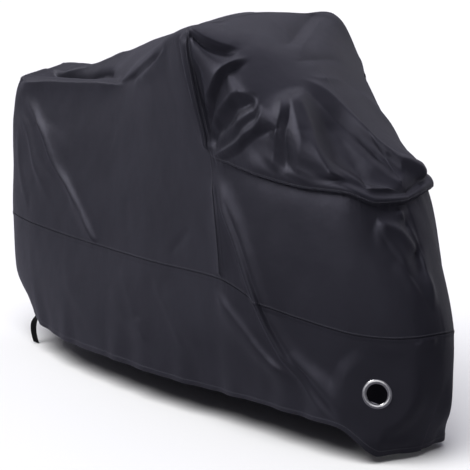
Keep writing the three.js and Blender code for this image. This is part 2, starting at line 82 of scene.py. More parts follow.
# Each rib is the line of the cloth at one station, in millimetres of cloth round the near side from
# the middle of the tail. Under each rise stands (x, half width, height above the ground), and after
# them the far side's share of the width below and above the collar, its lift there, and how much
# lower its hem hangs.
RIBS = (
    (0, (-935, 0, 115), (-1080, 0, 245), (-1094, 0, 468), (-1099, 0, 650),
     (-1094, 0, 830), (-1082, 0, 960), (-1058, 0, 1008), (-1030, 0, 1026), 1, 1, 0, 0),
    (110, (-935, 115, 118), (-1080, 110, 245), (-1093, 112, 468), (-1096, 110, 650),
     (-1090, 105, 830), (-1078, 95, 982), (-1030, 50, 1010), (-975, 0, 1030), 1, 1, 0, 0),
    (230, (-922, 212, 130), (-1075, 198, 240), (-1083, 203, 465), (-1084, 198, 650),
     (-1080, 194, 830), (-1052, 168, 972), (-955, 85, 972), (-890, 0, 1033), 1, 1, 0, 10),
    (440, (-745, 290, 103), (-860, 262, 250), (-880, 250, 460), (-880, 235, 650),
     (-870, 205, 825), (-845, 155, 986), (-805, 82, 966), (-770, 0, 1038), 1, 1, 0, 25),
    (740, (-480, 330, 95), (-545, 302, 260), (-575, 268, 455), (-585, 240, 650),
     (-590, 202, 830), (-580, 152, 994), (-568, 82, 1030), (-556, 0, 1102), 1, 1, 0, 45),
    (1010, (-220, 336, 99), (-260, 312, 270), (-295, 278, 455), (-315, 250, 650),
     (-330, 215, 840), (-340, 165, 1018), (-336, 105, 1115), (-332, 0, 1163), 1, 1, 0, 60),
    (1290, (60, 325, 99), (40, 318, 270), (15, 292, 460), (-5, 272, 650),
     (-30, 255, 840), (-45, 250, 1112), (-45, 165, 1178), (-45, 0, 1230), 1, 0.97, 8, 75),
    (1650, (370, 275, 100), (390, 300, 270), (391, 300, 470), (355, 290, 650),
     (302, 275, 833), (240, 318, 1207), (212, 205, 1238), (200, 0, 1260), 0.95, 0.86, 34, 95),
    (1830, (550, 258, 105), (585, 275, 250), (570, 285, 425), (530, 278, 620),
     (485, 262, 808), (365, 275, 1105), (360, 150, 1175), (370, 0, 1180), 0.9, 1.02, 0, 99),
    (2010, (715, 240, 103), (740, 238, 250), (715, 245, 400), (690, 235, 590),
     (660, 215, 783), (575, 215, 955), (525, 110, 1050), (515, 0, 1080), 0.9, 0.83, 0, 97),
    (2170, (850, 215, 97), (885, 185, 240), (865, 192, 380), (835, 190, 570),
     (795, 160, 777), (735, 150, 862), (690, 80, 925), (670, 0, 950), 0.85, 0.9, 8, 55),
    (2320, (935, 150, 24), (975, 122, 220), (965, 132, 378), (920, 130, 560),
     (855, 105, 748), (825, 98, 812), (795, 55, 850), (780, 0, 865), 0.8, 1.1, 30, 0),
    (2400, (950, 70, 24), (1020, 72, 210), (1025, 72, 385), (965, 75, 560),
     (875, 55, 746), (852, 48, 792), (838, 25, 815), (832, 0, 823), 0.85, 1.12, 20, 0),
    (2470, (960, 0, 20), (1035, 0, 210), (1045, 0, 390), (980, 0, 560),
     (882, 0, 748), (868, 0, 780), (862, 0, 796), (858, 0, 806), 1, 1, 0, 0),
)

# The stations of the tail, of the nose and of the handlebar seam.
TAIL = RIBS[0][0]
NOSE = RIBS[-1][0]
BAR = 1650

# How much the curves between ribs give, and how far from hem and spine the far side's changes fade.
SLACK = 0.8
DROP_REACH = 300
LIFT_REACH = 250

# The thickness of the solids' cloth, and the gap that its seams leave.
CLOTH = 2
SEAM_GAP = 0.3

# Each fold has its side, its path through points of (station, rise), its height, its widths behind
# and before the path, and the shares of its length over which it begins and ends. The cloth stands
# out by the height, or in where that is negative. Behind is to the left of the path. These are the
# folds that the solids have too.
FOLDS = (
    ("both", ((250, 955), (620, 958), (980, 965)), 11, 26, 70, 0.1, 0.2),
    ("both", ((965, 985), (1250, 1000), (1600, 985)), 13, 34, 26, 0.25, 0.3),
    ("near", ((1100, 925), (1245, 935), (1470, 925)), 9, 30, 24, 0.2, 0.3),
    ("both", ((430, 1060), (660, 1050), (840, 1030)), -20, 45, 45, 0.3, 0.4),
    ("both", ((300, 885), (570, 655), (830, 440), (935, 375)), 6, 30, 24, 0.15, 0.1),
    ("near", ((325, 860), (475, 745), (835, 595)), 3, 30, 34, 0.2, 0.5),
    ("near", ((275, 815), (405, 670), (610, 455)), 5, 32, 32, 0.2, 0.4),
    ("near", ((1655, 735), (1730, 585), (1830, 350), (1920, 220), (2190, 25)), 15, 36, 30, 0.12, 0.12),
    ("near", ((1615, 335), (1700, 260), (1810, 175), (1960, 90)), 8, 34, 34, 0.2, 0.3),
    ("far", ((1660, 720), (1780, 480), (1980, 150)), 13, 36, 34, 0.15, 0.3),
    ("both", ((1628, 965), (1636, 850), (1640, 760)), 8, 26, 24, 0.1, 0.1),
    ("both", ((1690, 930), (1684, 850), (1676, 770)), -16, 24, 30, 0.25, 0.15),
    ("near", ((1680, 975), (1740, 985), (1830, 1035)), -3, 26, 32, 0.15, 0.2),
    ("near", ((1862, 1020), (1850, 975), (1765, 890), (1690, 830)), -4, 30, 28, 0.2, 0.15),
    ("both", ((1930, 985), (1885, 925), (1780, 855), (1690, 795)), -14, 36, 40, 0.2, 0.2),
    ("near", ((1940, 970), (1880, 880), (1770, 810), (1690, 768)), 4, 24, 28, 0.2, 0.15),
    ("near", ((1985, 920), (1885, 825), (1750, 760)), -4, 28, 28, 0.2, 0.2),
    ("both", ((1980, 1045), (2045, 995), (2055, 880), (2020, 765)), 8, 34, 60, 0.15, 0.1),
    ("near", ((1995, 1010), (2015, 930), (1950, 800)), -3, 28, 28, 0.2, 0.2),
    ("near", ((2060, 1090), (2180, 1040), (2310, 1000), (2400, 930)), -23, 70, 60, 0.2, 0.3),
    ("near", ((1985, 1066), (2088, 1004), (2148, 800)), 15, 50, 56, 0.15, 0.15),
    ("near", ((2084, 1183), (2212, 1216), (2300, 1262), (2350, 1330), (2358, 1600)), 12, 30, 34, 0.2, 0.15),
    ("far", ((1670, 1040), (1800, 1165), (1890, 1215)), -9, 44, 40, 0.2, 0.3),
    ("near", ((2310, 690), (2390, 610), (2450, 440)), 12, 26, 26, 0.2, 0.2),
    ("near", ((2440, 715), (2455, 640), (2445, 510)), -9, 22, 22, 0.2, 0.3),
    ("both", ((705, 245), (850, 140), (1010, 60)), 4, 40, 34, 0.25, 0.3),
    ("both", ((1025, 240), (1165, 130), (1330, 70)), 4, 38, 34, 0.25, 0.3),
    ("near", ((1340, 300), (1450, 190), (1560, 90)), 4, 36, 32, 0.25, 0.3),
)

# Sharper creases that only the render shows, in the same columns. They part the cloth into facets.
# A crease is rounded over CREASE_ROUND, and cloth further than about CALM from any crease stays calm.
CREASE_ROUND = 3
CALM = 40
CREASES = (
    ("near", ((312, 872), (499, 717), (614, 602), (811, 479), (937, 372)), 10, 8, 7, 0.3, 0.04),
    ("near", ((447, 677), (577, 571), (748, 472), (900, 362)), -3, 14, 14, 0.3, 0.2),
    ("near", ((304, 794), (431, 638), (545, 514), (664, 410)), 4, 10, 14, 0.3, 0.4),
    ("near", ((330, 740), (420, 600), (520, 480)), -3, 12, 12, 0.3, 0.4),
    ("near", ((304, 742), (339, 545), (452, 385)), 4, 12, 14, 0.3, 0.4),
    ("near", ((250, 925), (539, 940), (838, 954), (1076, 942)), 15, 16, 36, 0.15, 0.2),
    ("near", ((946, 970), (1186, 972), (1410, 972)), 10, 14, 22, 0.15, 0.2),
    ("near", ((1190, 924), (1332, 939), (1460, 964)), 8, 12, 14, 0.2, 0.2),
    ("near", ((1049, 954), (1254, 950), (1424, 966)), -6, 12, 12, 0.2, 0.2),
    ("near", ((150, 1085), (372, 1120), (620, 1110), (866, 1010), (980, 985)), -24, 18, 18, 0.12, 0.2),
    ("near", ((120, 1100), (372, 1185), (500, 1196), (700, 1190), (888, 1090)), 9, 14, 14, 0.2, 0.25),
    ("near", ((273, 958), (170, 1000), (110, 1060)), 8, 12, 12, 0.15, 0.15),
    ("near", ((1369, 409), (1432, 458), (1505, 511)), -4, 10, 10, 0.2, 0.4),
    ("near", ((1120, 568), (1122, 494), (1128, 433)), -2.5, 14, 14, 0.3, 0.3),
    ("near", ((953, 847), (988, 765), (1000, 689)), -2.5, 14, 14, 0.3, 0.3),
    ("near", ((1590, 972), (1630, 862), (1638, 765)), 9, 13, 13, 0.08, 0.08),
    ("near", ((1560, 972), (1602, 862), (1612, 780)), -3.5, 12, 12, 0.15, 0.15),
    ("near", ((1655, 965), (1666, 863), (1668, 785)), -9, 10, 9, 0.05, 0.1),
    ("near", ((1646, 700), (1646, 548), (1648, 376)), 10, 7, 45, 0.15, 0.06),
    ("near", ((1676, 660), (1676, 548), (1676, 400)), 4, 12, 12, 0.2, 0.2),
    ("near", ((1683, 655), (1731, 541), (1782, 430), (1821, 361), (1869, 278), (1955, 153), (2090, 41),
              (2140, 24)), 8, 10, 24, 0.08, 0.1),
    ("near", ((1705, 655), (1752, 541), (1804, 430), (1843, 361), (1893, 278), (1978, 160), (2115, 48),
              (2160, 28)), -7, 12, 9, 0.12, 0.1),
    ("near", ((1596, 335), (1711, 274), (1776, 228), (1863, 166), (1957, 119)), 7, 11, 20, 0.15, 0.25),
    ("near", ((2385, 336), (2412, 352), (2449, 352)), 7, 7, 9, 0.2, 0.2),
    ("near", ((2444, 700), (2463, 607), (2455, 520), (2457, 447)), 14, 10, 12, 0.12, 0.3),
    ("near", ((2425, 728), (2448, 663), (2461, 623)), 11, 8, 10, 0.2, 0.2),
    ("near", ((2322, 690), (2411, 663), (2450, 612)), 13, 10, 16, 0.25, 0.1),
    ("near", ((2319, 679), (2416, 550), (2447, 427)), -10, 16, 18, 0.2, 0.3),
    ("near", ((2436, 693), (2449, 668)), -10, 8, 8, 0.3, 0.3),
    ("near", ((2285, 48), (2330, 42), (2391, 38), (2440, 45)), 6, 8, 10, 0.2, 0.3),
    ("near", ((1097, 334), (1156, 220), (1225, 85)), 4, 16, 18, 0.25, 0.3),
    ("near", ((1275, 323), (1381, 213), (1474, 75)), 4, 16, 18, 0.25, 0.3),
    ("near", ((1190, 170), (1240, 90)), 4, 10, 14, 0.3, 0.3),
    ("near", ((1650, 988), (1731, 1002), (1824, 1046)), 7, 24, 8, 0.1, 0.25),
    ("near", ((1652, 968), (1740, 986), (1833, 1032)), -15, 10, 10, 0.08, 0.2),
    ("near", ((1857, 1039), (1843, 998), (1795, 939), (1739, 886), (1665, 832)), 22, 34, 24, 0.15, 0.12),
    ("near", ((1872, 1039), (1860, 1001), (1813, 932), (1739, 870), (1659, 806)), -14, 26, 26, 0.15, 0.12),
    ("near", ((1931, 995), (1890, 956), (1829, 904), (1726, 840), (1657, 793)), 15, 26, 26, 0.15, 0.12),
    ("near", ((1940, 990), (1888, 917), (1775, 842), (1667, 784)), -14, 24, 24, 0.15, 0.12),
    ("near", ((1942, 1005), (1925, 938), (1858, 870), (1699, 790)), 8, 24, 20, 0.2, 0.15),
    ("near", ((1951, 992), (1920, 910), (1830, 840), (1695, 772)), -8, 20, 24, 0.2, 0.15),
    ("near", ((1952, 978), (1932, 916), (1890, 863), (1801, 812), (1668, 752)), 13, 24, 24, 0.2, 0.08),
    ("near", ((1998, 947), (1926, 875), (1858, 825), (1767, 780), (1698, 753)), -12, 24, 24, 0.15, 0.15),
    ("near", ((1972, 1047), (1997, 991), (1983, 922), (1952, 847), (1926, 780)), 11, 26, 26, 0.15, 0.12),
    ("near", ((1999, 1037), (2028, 991), (2006, 895), (1966, 790)), -7, 24, 24, 0.2, 0.15),
    ("near", ((1975, 1058), (2051, 1001), (2070, 940), (2023, 790)), 9, 60, 24, 0.12, 0.12),
    ("near", ((1995, 1058), (2092, 1000), (2150, 800)), 12, 18, 60, 0.15, 0.12),
    ("near", ((1971, 1112), (2084, 1183), (2212, 1216), (2300, 1262), (2350, 1330), (2358, 1620)),
     11, 30, 24, 0.15, 0.12),
    ("near", ((2004, 1096), (2148, 1138), (2270, 1172), (2360, 1180)), -8, 24, 50, 0.2, 0.2),
    ("near", ((2178, 1033), (2295, 1000), (2293, 822)), -5, 22, 24, 0.3, 0.2),
    ("near", ((2295, 860), (2370, 900), (2430, 960)), 7, 16, 18, 0.3, 0.3),
    ("far", ((1644, 1048), (1770, 1166), (1860, 1287)), -7, 30, 22, 0.15, 0.2),
    ("far", ((1690, 1040), (1809, 1154), (1912, 1268)), 5, 26, 26, 0.15, 0.2),
    ("near", ((1927, 1129), (1926, 1253), (1917, 1390)), -4, 12, 14, 0.3, 0.3),
    ("near", ((1959, 1130), (2016, 1192), (2010, 1349)), 4, 14, 14, 0.3, 0.3),
    ("near", ((1693, 1082), (1580, 1161)), -5, 10, 12, 0.2, 0.2),
)

# The hood bags out above the collar seam and ends over it in a lip, and the front panel draws in
# under it, in millimetres.
BAG = {"out": 14, "rise": 772, "width": 42, "inward": -7, "tucks": 9, "opens": 240}

# The eyelets and the strap, in millimetres, and the strap's twist in degrees.
EYELET = {"station": 2255, "rise": 150, "flat": 95, "blend": 150, "hole": 33.3, "bore": 31, "flange": 44,
          "back_flange": 42, "groove": 1.3, "back": 3.2}
STRAP = {"stations": (308, 338), "half": 12, "rise": 24, "sewn": 20, "past": 9, "thick": 2, "seat": 1.1,
         "bow": 15, "clears": 4, "twist": 62, "twisted": 0.4}

# The turned-up hem and the lapped lower seam: how deep they run, what they add and how they fade.
HEM = {"deep": 19, "adds": 0.8, "fades": 3}
LAP = {"deep": 14, "adds": 1.5, "fades": 4, "over": 0.5}


def spread(start, end, step):
    """Values from start up to, but not including, end, about a step apart."""
    count = max(1, round((end - start) / step))
    return [start + (end - start) * k / count for k in range(count)]


def smooth(t):
    """0 below 0, 1 above 1 and a soft step between them."""
    t = np.clip(t, 0, 1)
    return t * t * (3 - 2 * t)


def curve(samples, knots, values):
    """Hermite curve through samples (first axis) at uneven knots, at each of the values."""
    knots = np.asarray(knots, float)
    i = np.clip(np.searchsorted(knots, values, side="right") - 1, 0, len(knots) - 2)
    before = np.maximum(np.arange(len(knots)) - 1, 0)
    after = np.minimum(np.arange(len(knots)) + 1, len(knots) - 1)
    extra = (1,) * (samples.ndim - 1)
    slopes = SLACK * (samples[after] - samples[before]) / (knots[after] - knots[before]).reshape(-1, *extra)
    span = (knots[i + 1] - knots[i]).reshape(-1, *extra)
    t = (np.asarray(values, float).reshape(-1, *extra) - knots[i].reshape(-1, *extra)) / span
    return ((2 * t**3 - 3 * t**2 + 1) * samples[i] + (t**3 - 2 * t**2 + t) * span * slopes[i]
            + (-2 * t**3 + 3 * t**2) * samples[i + 1] + (t**3 - t**2) * span * slopes[i + 1])


def taut(stations, rises, far=False):
    """The smooth cloth of one side before its folds, in millimetres above the ground."""
    flip = np.array([1, -1, 1])
    points = np.array([rib[1:9] for rib in RIBS], float)
    points = np.concatenate([points[1:2] * flip, points, points[-2:-1] * flip])
    knots = [rib[0] for rib in RIBS]
    ribs = curve(points, [TAIL - knots[1], *knots, 2 * NOSE - knots[-2]], stations)
    ribs = np.concatenate([ribs, ribs[:, -2:-1] * flip], axis=1)
    lines = [*RISE.values(), 2 * RISE["spine"] - RISE["inner"]]
    net = np.swapaxes(curve(np.swapaxes(ribs, 0, 1), lines, rises), 0, 1)
    if not far:
        return net * flip
    far_columns = zip(*(rib[1 + len(RISE):] for rib in RIBS))
    low, top, lift, drop = (np.interp(stations, knots, column)[:, None] for column in far_columns)
    upper = np.clip((rises - RISE["mid"]) / (RISE["collar"] - RISE["mid"]), 0, 1)
    below = np.clip((RISE["spine"] - rises) / LIFT_REACH, 0, 1)
    net[..., 1] *= low * (1 - upper) + top * upper
    net[..., 2] += lift * upper * below - drop * np.clip(1 - rises / DROP_REACH, 0, 1)
    return net


def nearest(path, station, rise):
    """Distance of each (station, rise) to a path, whether it lies left of it, and its share along it."""
    lengths = np.hypot(*np.diff(path, axis=0).T)
    best = np.full(station.shape, np.inf)
    left = np.zeros(station.shape, bool)
    share = np.zeros(station.shape)
    for k, length in enumerate(lengths):
        dx, dy = (path[k + 1] - path[k]) / length
        ox, oy = station - path[k, 0], rise - path[k, 1]
        s = np.clip(ox * dx + oy * dy, 0, length)
        distance = np.hypot(ox - dx * s, oy - dy * s)
        closer = distance < best
        best = np.where(closer, distance, best)
        left = np.where(closer, dx * oy - dy * ox > 0, left)
        share = np.where(closer, (lengths[:k].sum() + s) / lengths.sum(), share)
    return best, left, share


def along(rows, far, station, rise):
    """For each row and image of a side: the points near it, their distance, width there and height."""
    for side, path, height, behind, before, begins, ends in rows:
        path = np.asarray(path, float)
        reach = 4 * max(behind, before)
        low, high = path.min(axis=0) - reach, path.max(axis=0) + reach
        for fold_far in (False, True):
            if side == ("near" if fold_far else "far"):
                continue
            for a, v in images(fold_far == far, station, rise):
                near = (a > low[0]) & (a < high[0]) & (v > low[1]) & (v < high[1])
                if near.any():
                    distance, left, share = nearest(path, a[near], v[near])
                    faded = height * smooth(share / begins) * smooth((1 - share) / ends)
                    yield near, distance, np.where(left, behind, before), faded


def images(same_side, station, rise):
    """Where a point of the other side lies, counted from this side: over the spine, tail or nose."""
    if same_side:
        return [(station, rise)]
    return [(station, 2 * RISE["spine"] - rise), (2 * TAIL - station, rise), (2 * NOSE - station, rise)]


def soft_folds(far, station, rise):
    """How far the round folds lift the cloth at each (station, rise) of one side."""
    lift = np.zeros(station.shape)
    for near, distance, width, height in along(FOLDS, far, station, rise):
        lift[near] += height * np.exp(-(distance / width)**2)
    return lift


def smoothed(path):
    """A smooth line through the corners of a path."""
    return curve(np.array(path, float), range(len(path)), np.arange(0, len(path) - 0.99, 0.2))


def sharp_creases(far, station, rise):
    """How far the creases lift the cloth: it runs nearly straight from each line to the next."""
    rows = [(side, smoothed(path), *rest) for side, path, *rest in CREASES]
    lift = np.zeros(station.shape)
    pull = np.full(station.shape, 1 / CALM)
    for near, distance, width, height in along(rows, far, station, rise):
        weight = np.exp(-distance / width) / (distance + CREASE_ROUND)
        lift[near] += height * weight
        pull[near] += weight
    return lift / pull


def normals_of(points, quads):
    """Area-weighted normals at the points of a mesh of quads."""
    a, b, c, d = (points[quads[:, k]] for k in range(4))
    face = np.cross(c - a, d - b)
    normals = np.zeros_like(points)
    for corner in range(4):
        np.add.at(normals, quads[:, corner], face)
    return normals / np.maximum(np.linalg.norm(normals, axis=1, keepdims=True), 1e-12)


def eyelet_place(far):
    """The middle of one eyelet on the outside of the cloth, and its axis outwards, in millimetres."""
    around = np.array([-6.0, 0.0, 6.0])
    net = taut(EYELET["station"] + around, EYELET["rise"] + around, far)
    axis = np.cross(net[2, 1] - net[0, 1], net[1, 2] - net[1, 0]) * (-1 if far else 1)
    return net[1, 1], axis / np.linalg.norm(axis)


def bag(station, rise):
    """The hood's bagging over the collar seam, which grows from the bars forwards."""
    hood = BAG["out"] * np.exp(-((rise - BAG["rise"]) / BAG["width"])**2)
    under = BAG["inward"] * np.exp(-((rise - RISE["collar"]) / BAG["width"])**2)
    over_seam = smooth((rise - RISE["collar"] + BAG["tucks"]) / BAG["tucks"])
    return smooth((station - BAR) / BAG["opens"]) * (under + (hood - under) * over_seam)


class Drape:
    """The whole cover as one net of points, from which the sheets are cut.

    The two sides share the points in the middle of the tail and the nose and along the spine. Each
    point has an outside and a base. The base is the outside without the doubled cloth at the hem
    and seams, and the inside of the cloth is measured from it.
    """

    def __init__(self):
        self.stations = np.array(
            spread(TAIL, 240, 12) + spread(240, 1560, 10.5) + spread(1560, 1640, 7) + spread(1640, 1660, 2.5)
            + spread(1660, 2080, 3.6) + spread(2080, NOSE, 4.2) + [NOSE], float)
        self.rises = np.array(
            [0, 2, 6, 12, 17, 19, 21, 24] + spread(29, 356, 7.5) + [356, 362, 366, 369]
            + [370, 371, 374, 378, 384] + spread(391, 735, 8) + [735, 741, 745, 748.5]
            + [750, 751.5, 755, 759] + spread(764, 1060, 5.2) + spread(1060, 1220, 6.2) + [1220], float)
        n, m = len(self.stations), len(self.rises)
        near_ids = np.arange(n * m).reshape(n, m)
        far_ids = near_ids.copy()
        far_ids[1:-1, :-1] = n * m + np.arange((n - 2) * (m - 1)).reshape(n - 2, m - 1)
        self.ids = {False: near_ids, True: far_ids}
        station, rise = np.meshgrid(self.stations, self.rises, indexing="ij")
        quads, cloth = [], []
        for far, ids in self.ids.items():
            u = -station if far else station
            order = slice(None, None, -1) if far else slice(None)
            corners = [(slice(None, -1), slice(None, -1)), (slice(1, None), slice(None, -1)),
                       (slice(1, None), slice(1, None)), (slice(None, -1), slice(1, None))][order]
            quads.append(np.stack([ids[c] for c in corners], -1).reshape(-1, 4))
            cloth.append(np.stack([np.stack([u[c], rise[c]], -1) for c in corners], 2).reshape(-1, 4, 2))
        self.quads = np.concatenate(quads)
        self.cloth = np.concatenate(cloth)
        u, v = (self.joined(near, far) for near, far in ((station, -station), (rise, rise)))
        points = self.joined(taut(self.stations, self.rises), taut(self.stations, self.rises, far=True))
        folds = self.joined(*(soft_folds(far, station, rise) for far in self.ids))
        points = points + normals_of(points, self.quads) * (folds + bag(np.abs(u), v))[:, None]
        creases = self.joined(*(sharp_creases(far, station, rise) for far in self.ids))
        points = points + normals_of(points, self.quads) * (creases + ripples(u, v))[:, None]
        for far in (False, True):
            centre, axis = eyelet_place(far)
            off = points - centre
            away = np.linalg.norm(off, axis=1)
            pressed = 1 - smooth((away - EYELET["flat"]) / (EYELET["blend"] - EYELET["flat"]))
            points = points - ((off @ axis) * pressed)[:, None] * axis
        self.base = points
        self.normals = normals_of(points, self.quads)
        self.points = points + self.normals * doubled(v)[:, None]

    @staticmethod
    def joined(near, far):
        """Values on both sides' grids as one list of points."""
        return np.concatenate([near.reshape(-1, *near.shape[2:]), far[1:-1, :-1].reshape(-1, *far.shape[2:])])

    def at(self, far, station, rise, values=None):
        """The outside of the cloth, or other values at its points, at any (station, rise) of a side."""
        values = self.points if values is None else values
        i = np.clip(np.searchsorted(self.stations, station, side="right") - 1, 0, len(self.stations) - 2)
        j = np.clip(np.searchsorted(self.rises, rise, side="right") - 1, 0, len(self.rises) - 2)
        s = ((station - self.stations[i]) / (self.stations[i + 1] - self.stations[i]))[..., None]
        t = ((rise - self.rises[j]) / (self.rises[j + 1] - self.rises[j]))[..., None]
        ids = self.ids[far]
        return ((1 - s) * ((1 - t) * values[ids[i, j]] + t * values[ids[i, j + 1]])
                + s * ((1 - t) * values[ids[i + 1, j]] + t * values[ids[i + 1, j + 1]]))


def ripples(u, v):
    """Soft unevenness all over, pulls at the seams and slack at the hem, in millimetres."""
    rng = np.random.default_rng(7)
    soft = np.zeros_like(u)
    for length, size in ((420, 1.6), (260, 1.3), (170, 0.9), (95, 0.5)):
        for _ in range(5):
            turn = rng.uniform(-1.5, 1.5)
            k = 2 * math.pi / (length * rng.uniform(0.75, 1.25))
            soft += size * 0.18 * np.sin(k * (u * math.cos(turn) + v * math.sin(turn)) + rng.uniform(0, 6.28))
    pulls = sum(np.sin(k * u + 40 * k + 0.9 * np.sin(0.011 * u + 9 * k)) for k in (0.13, 0.19, 0.27, 0.41))
    seams = np.exp(-np.abs(v - RISE["seam"]) / 26)
    seams = seams + 1.3 * np.exp(-np.abs(v - RISE["collar"]) / 22) * (np.abs(u) > BAR)
    slack = 3 * np.exp(-v / 110) * (np.sin(0.031 * u + 1.1 * np.sin(0.006 * u)) + 0.6 * np.sin(0.052 * u + 2))
    return soft + 0.2 * pulls * seams + slack


def doubled(v):
    """The extra thickness of the turned-up hem and of the lapped lower seam, in millimetres."""
    hem = HEM["adds"] * (1 - smooth((v - HEM["deep"]) / HEM["fades"]))
    above = v - RISE["seam"]
    lap = LAP["adds"] * (above < LAP["over"]) * smooth((above + LAP["deep"]) / LAP["fades"])
    return hem + lap


@functools.cache
def drape():
    """The net, worked out once."""
    return Drape()


def in_frame(points):
    """Millimetres above the ground to metres from the saddle."""
    return (np.asarray(points) - [SADDLE[0], 0, SADDLE[1]]) * MM


class Socket:
    """A shader socket in Python arithmetic. Each operator adds a Math node."""

    def __init__(self, graph, socket):
        self.graph = graph
        self.socket = socket

    def math(self, operation, *values):
        return self.graph.add("ShaderNodeMath", {"operation": operation}, dict(enumerate(values)))

    def __add__(self, other):
        return self.math("ADD", self, other)

    def __sub__(self, other):
        return self.math("SUBTRACT", self, other)

    def __rsub__(self, other):
        return self.math("SUBTRACT", other, self)

    def __mul__(self, other):
        return self.math("MULTIPLY", self, other)

    __radd__ = __add__
    __rmul__ = __mul__

    def wave(self):
        return self.math("SINE", self)

    def band(self, low, high):
        """0 below low, 1 above high and smooth between them."""
        return self.graph.add("ShaderNodeMapRange", {"interpolation_type": "SMOOTHSTEP"},
                              {"Value": self, "From Min": low, "From Max": high})


def rgba(colour):
    """A colour socket as it is, and three numbers with an alpha of 1."""
    if isinstance(colour, Socket):
        return colour
    return (*tuple(colour)[:3], 1.0)


class Graph:
    """The node tree of a material or world."""

    def __init__(self, owner):
        owner.use_nodes = True
        self.tree = owner.node_tree
        self.tree.nodes.clear()

    def add(self, kind, settings=None, values=None, out=0):
        """One node's output: its settings go first, then values or links by a socket's name or number."""
        node = self.tree.nodes.new(kind)
        for name, value in (settings or {}).items():
            setattr(node, name, value)
        for key, value in (values or {}).items():
            if isinstance(value, Socket):
                self.tree.links.new(value.socket, node.inputs[key])
            else:
                node.inputs[key].default_value = value
        return Socket(self, node.outputs[out] if node.outputs else None)

    def split(self, vector):
        """X and Y of a vector."""
        x = self.add("ShaderNodeSeparateXYZ", None, {"Vector": vector}, out="X")
        return x, Socket(self, x.socket.node.outputs["Y"])

    def noise(self, place, scale, detail=2.0, roughness=0.5):
        return self.add("ShaderNodeTexNoise", None,
                        {"Vector": place, "Scale": scale, "Detail": detail, "Roughness": roughness})

    def mixed(self, factor, first, second):
        return self.add("ShaderNodeMix", {"data_type": "RGBA"},
                        {0: factor, 6: rgba(first), 7: rgba(second)}, out=2)

    def bump(self, height, distance, strength=1.0, over=None):
        values = {"Height": height, "Distance": distance, "Strength": strength}
        if over is not None:
            values["Normal"] = over
        return self.add("ShaderNodeBump", None, values)

    def surface(self, **values):
        """The Principled shader and the output. Sockets are named with _ for their spaces."""
        shader = self.add("ShaderNodeBsdfPrincipled", None,
                          {name.replace("_", " "): value for name, value in values.items()})
        self.add("ShaderNodeOutputMaterial", None, {"Surface": shader})


def new_material(name):
    """A material and the graph of its nodes."""
    material = bpy.data.materials.new(name)
    return material, Graph(material)


@functools.cache
def nylon():
    """Coated nylon: a close weave, a soft sheen and fine wrinkles from folding. Its inside is matt, and its
    near-black colour there is painted shade.
    """
    cloth = bpy.context.scene.cover_cloth
    material, g = new_material("coated_nylon")
    place = g.add("ShaderNodeTexCoord", None, None, out="Object")
    metres = g.add("ShaderNodeUVMap", {"uv_map": "cloth"})
    u, v = g.split(metres)
    lining = g.add("ShaderNodeAttribute", {"attribute_name": "lining"}, None, out="Fac")
    patches = g.noise(place, 3.1, 3.0, 0.55)
    grain = g.noise(metres, 420.0, 2.0, 0.6)
    tone = g.mixed(patches.band(0.3, 0.7), cloth.dark_colour, cloth.light_colour)
    tone = g.mixed((grain - 0.5) * 0.5 + 0.25, tone, cloth.light_colour)
    # The inside of the cloth takes the near-black lining colour, which is painted shade for the shadow inside
    # the cover.
    tone = g.mixed(lining, tone, cloth.lining_shade_colour)
    thread = 2 * math.pi / cloth.weave
    weave = (u * thread).wave() * (v * thread).wave()
    wrinkles = g.noise(place, 38.0, 4.0, 0.62)
    dents = g.noise(place, 11.0, 2.0, 0.5)
    bump = g.bump(dents, 0.004, 0.5)
    bump = g.bump(wrinkles, 0.0008, 0.6, over=bump)
    bump = g.bump(weave, 0.00012, 0.5, over=bump)
    haze = patches * 0.10 + (grain * 0.08 + cloth.roughness - 0.09)
    g.surface(Base_Color=tone, Roughness=haze + lining * 0.45, Normal=bump,
              Specular_IOR_Level=0.5, Specular_Tint=(0.80, 0.78, 1.0, 1.0), Sheen_Weight=0.04,
              Sheen_Roughness=0.40, Sheen_Tint=(0.60, 0.60, 0.85, 1.0))
    return material


@functools.cache
def steel():
    """Polished nickel plate, with fine turning marks and slight handling haze."""
    material, g = new_material("eyelet_metal")
    place = g.add("ShaderNodeTexCoord", None, None, out="Object")
    haze = g.noise(place, 90.0, 3.0, 0.6)
    fine = g.noise(place, 1400.0, 2.0, 0.5)
    tone = g.mixed(haze.band(0.35, 0.75), (0.92, 0.92, 0.93), (0.74, 0.74, 0.77))
    g.surface(Base_Color=tone, Metallic=1.0, Roughness=haze * 0.16 + 0.12,
              Normal=g.bump(fine, 0.00004, 0.4))
    return material


@functools.cache
def webbing():
    """Black woven webbing: ribs across the strap and a herringbone along it."""
    material, g = new_material("webbing")
    metres = g.add("ShaderNodeUVMap", {"uv_map": "cloth"})
    along, across = g.split(metres)
    ribs = (along * (2 * math.pi / 0.0016) + (across * (2 * math.pi / 0.006)).wave() * 1.6).wave()
    grain = g.noise(metres, 900.0, 2.0, 0.5)
    tone = g.mixed(ribs * 0.3 + grain * 0.4 + 0.1, (0.003, 0.003, 0.004), (0.010, 0.010, 0.012))
    g.surface(Base_Color=tone, Roughness=grain * 0.15 + 0.7, Normal=g.bump(ribs, 0.0003, 0.7),
              Specular_IOR_Level=0.2)
    return material


@functools.cache
def thread():
    """Bonded sewing thread, a little lighter than the cloth."""
    material, g = new_material("sewing_thread")
    place = g.add("ShaderNodeTexCoord", None, None, out="Object")
    twist = g.noise(place, 2600.0, 1.0, 0.5)
    tone = g.mixed(twist, (0.09, 0.09, 0.11), (0.16, 0.16, 0.19))
    g.surface(Base_Color=tone, Roughness=twist * 0.2 + 0.4, Normal=g.bump(twist, 0.0001, 0.5))
    return material


